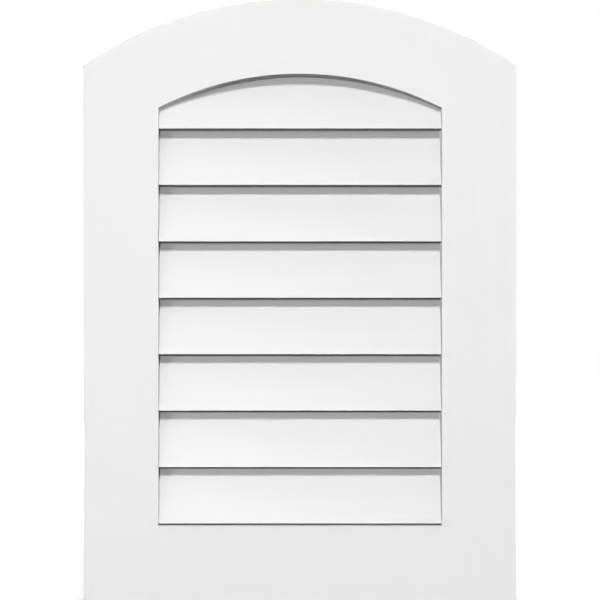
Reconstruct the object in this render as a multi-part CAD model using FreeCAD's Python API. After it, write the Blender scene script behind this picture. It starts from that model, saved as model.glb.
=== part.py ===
import FreeCAD, Part
import math
import os

# Arch-top gable vent in cellular PVC, sizes in millimetres.
# +Z is up, the front faces -Y, X = 0 is the centre line, Y = 0 is the wall and Z = 0 the frame's bottom edge.

# Face frame
opening_width = 340.0
opening_height = 542.0        # bottom edge of the opening to the crown of its arch
trim_width = 88.9             # flat trim all round the opening
arch_radius = 373.0           # arch of the opening; the outer arch has the same centre
frame_thickness = 25.4
frame_edge_radius = 0.5       # eased front edges
rebate_depth = 6.35           # recess in the frame's back that locates the louvre box
rebate_clearance = 0.25

# Louvre box behind the frame
board_thickness = 19.05
housing_depth = 6.0           # the sill's ends are let into the jambs
lap_length = 19.05            # the head's ends lap the outer half of the jambs
sill_slope = 5.0              # degrees, the sill's top falls towards the front
screen_clearance = 5.0        # free depth between the slats and the screen

# Slats
slat_count = 8
slat_thickness = 6.35
slat_tilt = 23.5              # degrees from vertical
slat_setback = 3.5            # front edge of a slat behind the frame's face
slat_overlap = 12.0           # how far a slat's top stands behind the slat above
slat_lift = 0.15              # bottom slat above the bottom edge of the opening
slat_edge_radius = 0.5
slat_clearance = 0.25         # round a slat where it fits the frame, the grooves and the arch
groove_depth = 6.0            # grooves in the jambs that take the ends of the slats

# Insect screen
screen_thickness = 0.5
screen_inset = 3.0            # edge of the screen inside the box's outer edge
screen_columns = 9
screen_rows = 13
strand_width = 2.0

# Worked out from the sizes above
opening_half = opening_width / 2
opening_bottom = trim_width
opening_crown = opening_bottom + opening_height
arch_center = opening_crown - arch_radius
frame_half = opening_half + trim_width
frame_radius = arch_radius + trim_width
frame_front = -frame_thickness
box_half = opening_half + board_thickness
box_bottom = opening_bottom - board_thickness
box_radius = arch_radius + board_thickness
box_front = -rebate_depth
tilt = math.radians(slat_tilt)
slat_pitch = opening_height / slat_count
slat_drop = slat_thickness * math.sin(tilt)
slat_width = (slat_pitch + slat_overlap - slat_drop) / math.cos(tilt)
slat_front = frame_front + slat_setback
slat_reach = slat_front + slat_width * math.sin(tilt) + slat_thickness * math.cos(tilt)
box_back = slat_reach + screen_clearance
box_depth = box_back - box_front
tongue_half = opening_half + groove_depth - slat_clearance
sill_half = opening_half + housing_depth
spring_height = arch_center + math.sqrt(arch_radius ** 2 - opening_half ** 2)
cut_margin = board_thickness  # how far a cutting block runs past what it cuts


def vector(x, y, z):
    return FreeCAD.Vector(x, y, z)


def block(x_low, x_high, y_low, y_high, z_low, z_high):
    return Part.makeBox(x_high - x_low, y_high - y_low, z_high - z_low, vector(x_low, y_low, z_low))


def mirrored(shape):
    return shape.mirror(vector(0, 0, 0), vector(1, 0, 0))


# A bar with the section given in the Y-Z plane, centred on X = 0.
def bar(section, half_length):
    shape = Part.Face(Part.makePolygon(section + section[:1])).extrude(vector(2 * half_length, 0, 0))
    shape.translate(vector(-half_length, 0, 0))
    return shape


def arched_face(half_width, bottom, radius, y):
    spring = arch_center + math.sqrt(radius ** 2 - half_width ** 2)
    low_left = vector(-half_width, y, bottom)
    low_right = vector(half_width, y, bottom)
    right_spring = vector(half_width, y, spring)
    left_spring = vector(-half_width, y, spring)
    crown = vector(0, y, arch_center + radius)
    sides = [
        Part.LineSegment(low_left, low_right),
        Part.LineSegment(low_right, right_spring),
        Part.Arc(right_spring, crown, left_spring),
        Part.LineSegment(left_spring, low_left),
    ]
    return Part.Face(Part.Wire([side.toShape() for side in sides]))


def arched_block(half_width, bottom, radius, y_low, y_high):
    return arched_face(half_width, bottom, radius, y_low).extrude(vector(0, y_high - y_low, 0))


# Face frame: one routed board with an arched opening, eased in front and rebated behind.
def face_frame():
    blank = arched_block(frame_half, 0, frame_radius, frame_front, 0)
    opening = arched_block(opening_half, opening_bottom, arch_radius, frame_front, 0)
    frame = blank.cut(opening)
    front_edges = [edge for edge in frame.Edges if edge.BoundBox.YMax < frame_front + frame_edge_radius]
    frame = frame.makeFillet(frame_edge_radius, front_edges)
    rebate = arched_block(
        box_half + rebate_clearance,
        box_bottom - rebate_clearance,
        box_radius + rebate_clearance,
        box_front,
        cut_margin,
    )
    return frame.cut(rebate)


# Louvre box: an arched ring of boards, the head lapped over the jambs and the sill housed between them.
def box_ring():
    outside = arched_block(box_half, box_bottom, box_radius, box_front, box_back)
    inside = arched_block(opening_half, box_bottom, arch_radius, box_front, box_back)
    return outside.cut(inside)


def head_lap():
    lap_face = box_half - board_thickness / 2
    return block(lap_face, box_half, box_front, box_back, spring_height - lap_length, spring_height)


def arched_head(ring):
    top = block(-box_half, box_half, box_front, box_back, spring_height, arch_center + box_radius)
    return ring.common(top).fuse([head_lap(), mirrored(head_lap())]).removeSplitter()


def sill():
    rise = box_depth * math.tan(math.radians(sill_slope))
    section = [
        vector(0, box_front, box_bottom),
        vector(0, box_back, box_bottom),
        vector(0, box_back, opening_bottom + rise),
        vector(0, box_front, opening_bottom),
    ]
    return bar(section, sill_half)


def right_jamb(ring):
    side = block(opening_half, box_half, box_front, box_back, box_bottom, spring_height)
    return ring.common(side).cut([head_lap(), sill()] + groove_cuts())


# A slat's section: front bottom corner first, then round by the back.
def slat_section(index, grow):
    foot = vector(0, slat_front, opening_bottom + slat_lift + slat_drop + index * slat_pitch)
    along = vector(0, math.sin(tilt), math.cos(tilt))
    through = vector(0, math.cos(tilt), -math.sin(tilt))
    low_front = foot - along * grow - through * grow
    low_back = low_front + through * (slat_thickness + 2 * grow)
    high_back = low_back + along * (slat_width + 2 * grow)
    high_front = low_front + along * (slat_width + 2 * grow)
    return [low_front, low_back, high_back, high_front]


# Slats have square-cut tongues behind the frame; the top one has none and is cut to the arch instead.
def slat(index):
    board = bar(slat_section(index, 0.0), tongue_half)
    long_edges = [edge for edge in board.Edges if edge.BoundBox.XLength > tongue_half]
    board = board.makeFillet(slat_edge_radius, long_edges)
    throat = arched_block(
        opening_half - slat_clearance,
        0,
        arch_radius - slat_clearance,
        frame_front,
        box_back,
    )
    body = board.common(throat)
    if index == slat_count - 1:
        return body
    tongue_front = box_front + slat_clearance
    tongues = board.common(block(-tongue_half, tongue_half, tongue_front, box_back, 0, spring_height))
    return body.fuse(tongues).removeSplitter()


# Grooves follow the slats and are open at the box's front edge.
def groove_cuts():
    reach = opening_half + groove_depth
    return [bar(slat_section(index, slat_clearance), reach) for index in range(slat_count - 1)]


# Insect screen: a sheet on the box's back edges with a grid of gaps over the opening.
def insect_screen():
    y_low = box_back
    y_high = box_back + screen_thickness
    sheet = arched_block(
        box_half - screen_inset, box_bottom + screen_inset, box_radius - screen_inset, y_low, y_high
    )
    field = arched_block(opening_half, opening_bottom, arch_radius, y_low, y_high)
    column = (opening_width - strand_width) / screen_columns
    row = (opening_height - strand_width) / screen_rows
    gap = block(0, column - strand_width, y_low, y_high, 0, row - strand_width)
    gaps = []
    for across in range(screen_columns):
        for up in range(screen_rows):
            cell = gap.copy()
            cell.translate(
                vector(
                    strand_width + across * column - opening_half,
                    0,
                    opening_bottom + strand_width + up * row,
                )
            )
            gaps.append(cell)
    return sheet.cut(field.common(Part.makeCompound(gaps)))


# Assembly
ring = box_ring()
jamb = right_jamb(ring)
nodes = {
    "face_frame": face_frame(),
    "right_jamb": jamb,
    "left_jamb": mirrored(jamb),
    "arched_head": arched_head(ring),
    "sill": sill(),
    "insect_screen": insect_screen(),
}
for index in range(slat_count):
    nodes["louvre_slat_%d" % (index + 1)] = slat(index)

os.makedirs("parts", exist_ok=True)
for name, shape in nodes.items():
    shape.exportStep("parts/%s.step" % name)
    print(name, len(shape.Solids), round(shape.Volume))
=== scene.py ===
import math
import bpy
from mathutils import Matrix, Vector


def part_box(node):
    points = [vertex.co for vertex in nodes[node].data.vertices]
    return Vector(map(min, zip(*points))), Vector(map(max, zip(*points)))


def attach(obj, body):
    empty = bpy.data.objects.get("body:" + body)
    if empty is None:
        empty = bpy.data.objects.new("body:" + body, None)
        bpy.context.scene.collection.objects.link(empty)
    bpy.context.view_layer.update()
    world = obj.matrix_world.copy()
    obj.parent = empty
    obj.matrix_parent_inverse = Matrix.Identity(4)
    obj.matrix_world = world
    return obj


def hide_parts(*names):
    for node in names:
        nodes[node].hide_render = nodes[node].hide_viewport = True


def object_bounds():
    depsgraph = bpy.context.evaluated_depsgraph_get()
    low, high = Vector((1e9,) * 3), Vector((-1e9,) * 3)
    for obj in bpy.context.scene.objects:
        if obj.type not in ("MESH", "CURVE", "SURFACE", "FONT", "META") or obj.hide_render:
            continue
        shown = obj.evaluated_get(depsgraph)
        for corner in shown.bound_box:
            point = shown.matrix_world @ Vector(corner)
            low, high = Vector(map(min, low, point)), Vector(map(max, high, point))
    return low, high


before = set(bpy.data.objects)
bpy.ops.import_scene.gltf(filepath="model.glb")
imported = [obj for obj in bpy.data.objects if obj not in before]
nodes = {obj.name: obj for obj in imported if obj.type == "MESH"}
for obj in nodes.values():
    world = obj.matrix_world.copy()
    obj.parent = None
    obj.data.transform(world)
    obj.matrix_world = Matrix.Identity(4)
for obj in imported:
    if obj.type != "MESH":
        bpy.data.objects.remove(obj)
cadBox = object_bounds()
slatNames = sorted(name for name in nodes if name.startswith("louvre_slat"))
boxNames = ["left_jamb", "right_jamb", "arched_head", "sill"]
scene = bpy.context.scene
scene.view_settings.view_transform = "Standard"
print("frame loaded:", len(nodes), "nodes")

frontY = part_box("face_frame")[0].y
midHeight = (cadBox[0][2] + cadBox[1][2]) / 2

# Node helpers
white = (1.0, 1.0, 1.0, 1.0)
black = (0.0, 0.0, 0.0, 1.0)
mixPlaces = {"FLOAT": (2, 3, 0), "RGBA": (6, 7, 2)}    # first, second and result among a Mix node's sockets
noiseSpan = {"low": 0.3, "high": 0.7}                  # most of a noise lies between these


# A plain value is set on the socket, and another node's output is linked to it
def feed(tree, value, socket):
    if isinstance(value, bpy.types.NodeSocket):
        tree.links.new(value, socket)
    else:
        socket.default_value = value


def addNode(tree, kind, settings=None, **values):
    node = tree.nodes.new(kind)
    for key, value in (settings or {}).items():
        setattr(node, key, value)
    for key, value in values.items():
        feed(tree, value, node.inputs[key])
    return node


def addGroup(name, inputs, outputs):
    tree = bpy.data.node_groups.new(name, "ShaderNodeTree")
    for label, kind, value in inputs:
        socket = tree.interface.new_socket(name=label, in_out="INPUT", socket_type=kind)
        socket.default_value = value
    for label, kind in outputs:
        tree.interface.new_socket(name=label, in_out="OUTPUT", socket_type=kind)
    return tree, tree.nodes.new("NodeGroupInput"), tree.nodes.new("NodeGroupOutput")


def objectPlace(tree):
    return addNode(tree, "ShaderNodeTexCoord").outputs["Object"]


def noiseNode(tree, place, scale, detail, roughness=0.5):
    node = addNode(tree, "ShaderNodeTexNoise", Vector=place, Scale=scale, Detail=detail, Roughness=roughness)
    return node.outputs["Fac"]


def mathNode(tree, operation, first, second=0.0):
    node = addNode(tree, "ShaderNodeMath", {"operation": operation})
    feed(tree, first, node.inputs[0])
    feed(tree, second, node.inputs[1])
    return node.outputs[0]


def mixNode(tree, kind, factor, first, second):
    node = addNode(tree, "ShaderNodeMix", {"data_type": kind}, Factor=factor)
    firstPlace, secondPlace, result = mixPlaces[kind]
    feed(tree, first, node.inputs[firstPlace])
    feed(tree, second, node.inputs[secondPlace])
    return node.outputs[result]


def rangeNode(tree, value, low, high, toLow, toHigh):
    node = addNode(tree, "ShaderNodeMapRange", **{
        "Value": value, "From Min": low, "From Max": high, "To Min": toLow, "To Max": toHigh})
    return node.outputs["Result"]


def spreadNoise(tree, noise, toLow, toHigh):
    return rangeNode(tree, noise, noiseSpan["low"], noiseSpan["high"], toLow, toHigh)


def newMaterial(name, **values):
    material = bpy.data.materials.new(name)
    material.use_nodes = True
    tree = material.node_tree
    shader = tree.nodes["Principled BSDF"]
    for key, value in values.items():
        shader.inputs[key].default_value = value
    return material, tree, shader


# Skin of an extruded board: long faint die streaks, a little tooth, and a slow drift in tone
boardSkin = {
    "streaks": 260.0, "stretch": 0.02, "tooth": 2600.0, "drift": 9.0,
    "streakTone": 0.4, "driftTone": 0.6, "streakHeight": 0.7, "toothHeight": 0.3}


def buildSkinGroup():
    tree, inside, out = addGroup(
        "boardSkin",
        [("Stretch", "NodeSocketVector", (1.0, 1.0, 1.0))],
        [("Tone", "NodeSocketFloat"), ("Gloss", "NodeSocketFloat"), ("Height", "NodeSocketFloat")])
    place = objectPlace(tree)
    pulled = addNode(tree, "ShaderNodeMapping", Vector=place, Scale=inside.outputs["Stretch"])
    streak = noiseNode(tree, pulled.outputs["Vector"], boardSkin["streaks"], detail=3.0, roughness=0.6)
    tooth = noiseNode(tree, place, boardSkin["tooth"], detail=2.0)
    drift = noiseNode(tree, place, boardSkin["drift"], detail=3.0)
    tone = mathNode(
        tree, "ADD",
        mathNode(tree, "MULTIPLY", streak, boardSkin["streakTone"]),
        mathNode(tree, "MULTIPLY", drift, boardSkin["driftTone"]))
    height = mathNode(
        tree, "ADD",
        mathNode(tree, "MULTIPLY", streak, boardSkin["streakHeight"]),
        mathNode(tree, "MULTIPLY", tooth, boardSkin["toothHeight"]))
    tree.links.new(tone, out.inputs["Tone"])
    tree.links.new(streak, out.inputs["Gloss"])
    tree.links.new(height, out.inputs["Height"])
    return tree


# Open cells that show where a board was sawn or routed; their pits are bumped, and whiteBoardMaterial paints
# them darker as painted shade in the hollows
sawnCells = {"cells": 1500.0, "pitReach": 0.45, "marks": 700.0, "markHeight": 0.5}


def buildCellGroup():
    tree, _, out = addGroup("sawnCells", [], [("ShadedPits", "NodeSocketFloat"), ("Height", "NodeSocketFloat")])
    place = objectPlace(tree)
    cells = addNode(
        tree, "ShaderNodeTexVoronoi", {"feature": "F1"},
        Vector=place, Scale=sawnCells["cells"], Randomness=1.0)
    marks = noiseNode(tree, place, sawnCells["marks"], detail=2.0, roughness=0.6)
    shadedPits = rangeNode(tree, cells.outputs["Distance"], 0.0, sawnCells["pitReach"], 1.0, 0.0)
    height = mathNode(tree, "SUBTRACT", mathNode(tree, "MULTIPLY", marks, sawnCells["markHeight"]), shadedPits)
    tree.links.new(shadedPits, out.inputs["ShadedPits"])
    tree.links.new(height, out.inputs["Height"])
    return tree


skinGroup = buildSkinGroup()
cellGroup = buildCellGroup()


# White board: skin on its two broad faces, and open cells on its cut edges, whose pits are painted darker as
# painted shade.
# The photo has little light thrown from board to board: thrown is the share that a front face throws,
# and thrownUp is the top slat's share.
whiteBoard = {
    "bright": 0.885, "soft": 0.86, "cutPitShade": 0.62, "blue": 0.995, "specular": 0.12,
    "thrown": 0.02, "thrownUp": 0.34, "broadFacing": 0.97, "edgeFacing": 0.80,
    "glossLow": 0.52, "glossHigh": 0.62, "cutRough": 0.75,
    "skinBump": 0.05, "skinDepth": 0.0004, "cutBump": 0.10, "cutDepth": 0.0006}


def boardTone(tone, paintedShade):
    level = whiteBoard[tone] * paintedShade
    return (level, level, level * whiteBoard["blue"], 1.0)


# back is the way that the board's back face points
def whiteBoardMaterial(name, stretch, back, paintedShade=1.0, thrown=whiteBoard["thrown"]):
    material, tree, shader = newMaterial(name, **{"Specular IOR Level": whiteBoard["specular"]})
    skin = addNode(tree, "ShaderNodeGroup", {"node_tree": skinGroup}, Stretch=stretch)
    cells = addNode(tree, "ShaderNodeGroup", {"node_tree": cellGroup})
    facing = addNode(tree, "ShaderNodeVectorMath", {"operation": "DOT_PRODUCT"})
    feed(tree, addNode(tree, "ShaderNodeTexCoord").outputs["Normal"], facing.inputs[0])
    feed(tree, back, facing.inputs[1])
    backward = facing.outputs["Value"]
    edge, broad = whiteBoard["edgeFacing"], whiteBoard["broadFacing"]
    cutMask = rangeNode(tree, mathNode(tree, "ABSOLUTE", backward), edge, broad, 1.0, 0.0)

    tone = mixNode(
        tree, "RGBA", spreadNoise(tree, skin.outputs["Tone"], 0.0, 1.0),
        boardTone("soft", paintedShade), boardTone("bright", paintedShade))
    # Painted shade: the pits on the cut edges take the darker cut tone, which also darkens the shaded slat
    # undersides
    shadedPits = mathNode(tree, "MULTIPLY", cutMask, cells.outputs["ShadedPits"])
    colour = mixNode(tree, "RGBA", shadedPits, tone, boardTone("cutPitShade", paintedShade))

    # Rays that bounce off other pieces meet black, apart from the share thrown
    path = addNode(tree, "ShaderNodeLightPath")
    between = mathNode(tree, "MAXIMUM", path.outputs["Is Diffuse Ray"], path.outputs["Is Glossy Ray"])
    held = rangeNode(tree, backward, -broad, -edge, 1.0 - thrown, 1.0)
    shown = mixNode(tree, "RGBA", mathNode(tree, "MULTIPLY", between, held), colour, black)
    tree.links.new(shown, shader.inputs["Base Color"])

    gloss = spreadNoise(tree, skin.outputs["Gloss"], whiteBoard["glossLow"], whiteBoard["glossHigh"])
    rough = mixNode(tree, "FLOAT", cutMask, gloss, whiteBoard["cutRough"])
    tree.links.new(rough, shader.inputs["Roughness"])

    skinBump = addNode(
        tree, "ShaderNodeBump", Strength=whiteBoard["skinBump"], Distance=whiteBoard["skinDepth"],
        Height=skin.outputs["Height"])
    cutHeight = mathNode(tree, "MULTIPLY", cells.outputs["Height"], cutMask)
    cutBump = addNode(
        tree, "ShaderNodeBump", Strength=whiteBoard["cutBump"], Distance=whiteBoard["cutDepth"],
        Height=cutHeight, Normal=skinBump.outputs["Normal"])
    tree.links.new(cutBump.outputs["Normal"], shader.inputs["Normal"])
    return material


def dress(name, material):
    node = nodes[name]
    node.data.materials.clear()
    node.data.materials.append(material)


# Painted shade: the slats are painted a little darker than the trim and the box
slatBoard = {"tilt": math.radians(23.5), "paintedShade": 0.985}    # tilt from upright
slatBack = (0.0, math.cos(slatBoard["tilt"]), -math.sin(slatBoard["tilt"]))
streaksUp = (1.0, 1.0, boardSkin["stretch"])
streaksAcross = (boardSkin["stretch"], 1.0, 1.0)
trimWhite = whiteBoardMaterial("trimWhite", streaksUp, (0.0, 1.0, 0.0))
slatWhite = whiteBoardMaterial("slatWhite", streaksAcross, slatBack, slatBoard["paintedShade"])
topSlatWhite = whiteBoardMaterial(
    "topSlatWhite", streaksAcross, slatBack, slatBoard["paintedShade"], whiteBoard["thrownUp"])
boxWhite = whiteBoardMaterial("boxWhite", streaksUp, (1.0, 0.0, 0.0))

dress("face_frame", trimWhite)
for name in slatNames[:-1]:
    dress(name, slatWhite)
dress(slatNames[-1], topSlatWhite)
for name in boxNames:
    dress(name, boxWhite)
print("boards dressed")


# Insect screen: coated glass-fibre threads, laid as a grid inside the sheet's outline
screenMesh = {
    "gapAcross": 0.00159, "gapUp": 0.00141, "thread": 0.00030, "edgeRoom": 0.0001,
    "dark": (0.035, 0.038, 0.042, 1.0), "pale": (0.06, 0.063, 0.067, 1.0),
    "mottle": 60.0, "roughness": 0.55, "specular": 0.4}
screenLow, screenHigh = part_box("insect_screen")


# Radius, centre and spring of the sheet's arched top
def screenArch():
    sideX = screenHigh.x - screenMesh["edgeRoom"]
    places = [vertex.co for vertex in nodes["insect_screen"].data.vertices]
    spring = max(place.z for place in places if place.x > sideX)
    half, rise = screenHigh.x, screenHigh.z - spring
    radius = (half * half + rise * rise) / (2 * rise)
    return radius, screenHigh.z - radius, spring


screenRadius, archCentre, screenSpring = screenArch()


def warpThreads():
    thread, gap = screenMesh["thread"], screenMesh["gapAcross"]
    count = int(2 * screenHigh.x / gap)
    threads = []
    for index in range(count + 1):
        x = (index - count / 2) * gap
        top = min(screenHigh.z, archCentre + math.sqrt(screenRadius ** 2 - x * x))
        centre = (x, screenLow.y + thread / 2, (screenLow.z + top) / 2)
        threads.append((centre, (thread, thread, top - screenLow.z)))
    return threads


def weftThreads():
    thread, gap = screenMesh["thread"], screenMesh["gapUp"]
    count = int((screenHigh.z - screenLow.z) / gap)
    threads = []
    for index in range(count + 1):
        z = screenLow.z + thread / 2 + index * gap
        reach = min(screenHigh.x, math.sqrt(max(0.0, screenRadius ** 2 - (z - archCentre) ** 2)))
        centre = (0.0, screenHigh.y - thread / 2, z)
        threads.append((centre, (2 * reach, thread, thread)))
    return threads


def addBar(centre, size):
    bpy.ops.mesh.primitive_cube_add(size=1.0, location=centre, scale=size)


# A piece of square bars, the first in object mode and the rest inside its mesh
def addBars(bars):
    bpy.ops.object.select_all(action="DESELECT")
    addBar(*bars[0])
    piece = bpy.context.object
    bpy.ops.object.transform_apply(location=True, rotation=False, scale=True)
    bpy.ops.object.mode_set(mode="EDIT")
    for centre, size in bars[1:]:
        addBar(centre, size)
    bpy.ops.object.mode_set(mode="OBJECT")
    return piece


def meshCoatMaterial():
    material, tree, shader = newMaterial("meshCoat", **{
        "Roughness": screenMesh["roughness"], "Specular IOR Level": screenMesh["specular"]})
    mottle = noiseNode(tree, objectPlace(tree), screenMesh["mottle"], detail=3.0)
    coat = mixNode(tree, "RGBA", mottle, screenMesh["dark"], screenMesh["pale"])
    tree.links.new(coat, shader.inputs["Base Color"])
    return material


screen = addBars(warpThreads() + weftThreads())
screen.name = "screenThreads"
screen.data.materials.append(meshCoatMaterial())
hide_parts("insect_screen")
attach(screen, "root")
print("screen woven:", len(screen.data.polygons), "faces")


# Wire staples that hold the screen to the back edges of the box
stapleWire = {
    "crown": 0.011, "wide": 0.0012, "thick": 0.0006, "leg": 0.0005, "round": 0.00022, "roundSteps": 2,
    "jamb": 6, "head": 6, "sill": 4, "inset": 0.0095, "sillSpan": 1.8,
    "colour": (0.40, 0.41, 0.42, 1.0), "grain": 1400.0, "roughLow": 0.28, "roughHigh": 0.5}


def buildStaple():
    crown, wide, thick, leg = (stapleWire[key] for key in ("crown", "wide", "thick", "leg"))
    bars = [((0.0, thick / 2, 0.0), (crown, thick, wide))]
    for side in (-1, 1):
        bars.append(((side * (crown - thick) / 2, -leg / 2, 0.0), (thick, leg, wide)))
    staple = addBars(bars)
    bpy.ops.object.modifier_add(type="BEVEL")
    bevel = staple.modifiers[-1]
    bevel.width = stapleWire["round"]
    bevel.segments = stapleWire["roundSteps"]
    bpy.ops.object.modifier_apply(modifier=bevel.name)
    return staple


def shares(count):
    return [(index + 0.5) / count for index in range(count)]


# Across, up and turn of each staple, round the edge of the screen
def staplePlaces():
    side, low, inset = screenHigh.x - stapleWire["inset"], screenLow.z, stapleWire["inset"]
    places = []
    for share in shares(stapleWire["jamb"]):
        z = low + share * (screenSpring - low)
        places += [(side, z, math.pi / 2), (-side, z, math.pi / 2)]
    radius = screenRadius - inset
    sweep = 2 * math.asin(side / radius)
    for share in shares(stapleWire["head"]):
        turn = (share - 0.5) * sweep
        places.append((radius * math.sin(turn), archCentre + radius * math.cos(turn), turn))
    for share in shares(stapleWire["sill"]):
        places.append(((share - 0.5) * stapleWire["sillSpan"] * side, low + inset, 0.0))
    return places


def copyOf(piece):
    bpy.ops.object.select_all(action="DESELECT")
    piece.select_set(True)
    bpy.context.view_layer.objects.active = piece
    bpy.ops.object.duplicate()
    return bpy.context.object


def joined(pieces):
    bpy.ops.object.select_all(action="DESELECT")
    for piece in pieces:
        piece.select_set(True)
    bpy.context.view_layer.objects.active = pieces[0]
    bpy.ops.object.join()
    bpy.ops.object.transform_apply(location=True, rotation=True, scale=True)
    return bpy.context.object


def driveStaples():
    pattern = buildStaple()
    staples = []
    for x, z, turn in staplePlaces():
        staple = copyOf(pattern)
        staple.location = (x, screenHigh.y, z)
        staple.rotation_euler = (0.0, turn, 0.0)
        staples.append(staple)
    whole = joined(staples)
    bpy.data.objects.remove(pattern)
    return whole


def wireSteelMaterial():
    material, tree, shader = newMaterial(
        "wireSteel", **{"Base Color": stapleWire["colour"], "Metallic": 1.0})
    grain = noiseNode(tree, objectPlace(tree), stapleWire["grain"], detail=3.0)
    rough = spreadNoise(tree, grain, stapleWire["roughLow"], stapleWire["roughHigh"])
    tree.links.new(rough, shader.inputs["Roughness"])
    return material


screenStaples = driveStaples()
screenStaples.name = "screenStaples"
screenStaples.data.materials.append(wireSteelMaterial())
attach(screenStaples, "root")
print("staples driven:", len(staplePlaces()))


# Floor, camera and light
studio = {
    "lens": 102.0, "sensor": 36.0, "distance": 2.037,
    "skyLight": 0.10, "groundLight": 0.01, "horizon": 0.1,
    "floorSize": 12.0, "floorDrop": 0.0003, "floorTone": 0.8, "floorRough": 0.9,
    "nearGlow": 0.28, "farGlow": 0.80, "near": 1.0, "far": 4.5}
lamps = {
    "keyLamp": {"place": (0.15, -2.66, 1.54), "size": 0.37, "power": 5.02},
    "leftLamp": {"place": (-1.43, -2.70, 0.52), "size": 0.06, "power": 12.5},
    "rightLamp": {"place": (12.00, -0.90, 1.22), "size": 0.12, "power": 840.0, "glare": False},
    "leftFill": {"place": (-2.00, -9.00, 4.33), "size": 0.2, "power": 314.0, "shadow": False},
    "backLamp": {"place": (1.10, 2.70, 1.50), "size": 0.6, "power": 45.0},
    "backFill": {"place": (-1.60, 2.50, 0.90), "size": 0.6, "power": 40.0, "shadow": False}}


def addLamp(name, place, size, power, shadow=True, glare=True):
    bpy.ops.object.light_add(type="AREA", location=place)
    lamp = bpy.context.object
    lamp.name = name
    lamp.visible_glossy = glare
    lamp.data.shape = "DISK"
    lamp.data.size = size
    lamp.data.energy = power
    lamp.data.use_shadow = shadow
    aim = Vector((0.0, frontY, midHeight)) - Vector(place)
    lamp.rotation_euler = aim.to_track_quat("-Z", "Y").to_euler()
    return lamp


# A lamp as strong at the sill as at the crown
def evenOut(lamp):
    lamp.data.use_nodes = True
    tree = lamp.data.node_tree
    falloff = addNode(tree, "ShaderNodeLightFalloff", Strength=1.0)
    tree.links.new(falloff.outputs["Constant"], tree.nodes["Emission"].inputs["Strength"])


bpy.ops.object.select_all(action="DESELECT")
lit = {name: addLamp(name, **lamp) for name, lamp in lamps.items()}
evenOut(lit["keyLamp"])

floorHeight = cadBox[0][2] - studio["floorDrop"]
bpy.ops.mesh.primitive_plane_add(size=studio["floorSize"], location=(0.0, 0.0, floorHeight))
floor = bpy.context.object
floor.name = "studioFloor"
floor.visible_diffuse = False    # throws no light back on the vent


def seenDirectly(tree):
    path = addNode(tree, "ShaderNodeLightPath")
    seen = mathNode(tree, "MAXIMUM", path.outputs["Is Camera Ray"], path.outputs["Is Glossy Ray"])
    return mathNode(tree, "MAXIMUM", seen, path.outputs["Is Transmission Ray"])


# The floor shows white: a faint glow near the vent leaves its shadow, and a stronger one fills the dim edges
def floorMaterial():
    material, tree, shader = newMaterial("floorPaint", **{
        "Base Color": (studio["floorTone"],) * 3 + (1.0,), "Roughness": studio["floorRough"],
        "Emission Color": white})
    away = addNode(tree, "ShaderNodeVectorMath", {"operation": "LENGTH"}, Vector=objectPlace(tree))
    glow = rangeNode(
        tree, away.outputs["Value"], studio["near"], studio["far"], studio["nearGlow"], studio["farGlow"])
    shown = mathNode(tree, "MULTIPLY", seenDirectly(tree), glow)
    tree.links.new(shown, shader.inputs["Emission Strength"])
    return material


floor.data.materials.append(floorMaterial())

# The sky shows white, and lights the vent faintly from above
world = bpy.data.worlds.new("studioWorld")
world.use_nodes = True
scene.world = world
sky = world.node_tree
direction = addNode(sky, "ShaderNodeTexCoord").outputs["Generated"]
upward = addNode(sky, "ShaderNodeSeparateXYZ", Vector=direction).outputs["Z"]
dome = rangeNode(
    sky, upward, -studio["horizon"], studio["horizon"], studio["groundLight"], studio["skyLight"])
background = sky.nodes["Background"]
background.inputs["Color"].default_value = white
sky.links.new(mixNode(sky, "FLOAT", seenDirectly(sky), dome, 1.0), background.inputs["Strength"])

eye = (0.0, frontY - studio["distance"], midHeight)
bpy.ops.object.camera_add(location=eye, rotation=(math.pi / 2, 0.0, 0.0))
camera = bpy.context.object
camera.name = "photoCamera"
camera.data.lens = studio["lens"]
camera.data.sensor_width = studio["sensor"]
scene.camera = camera
print("studio set")
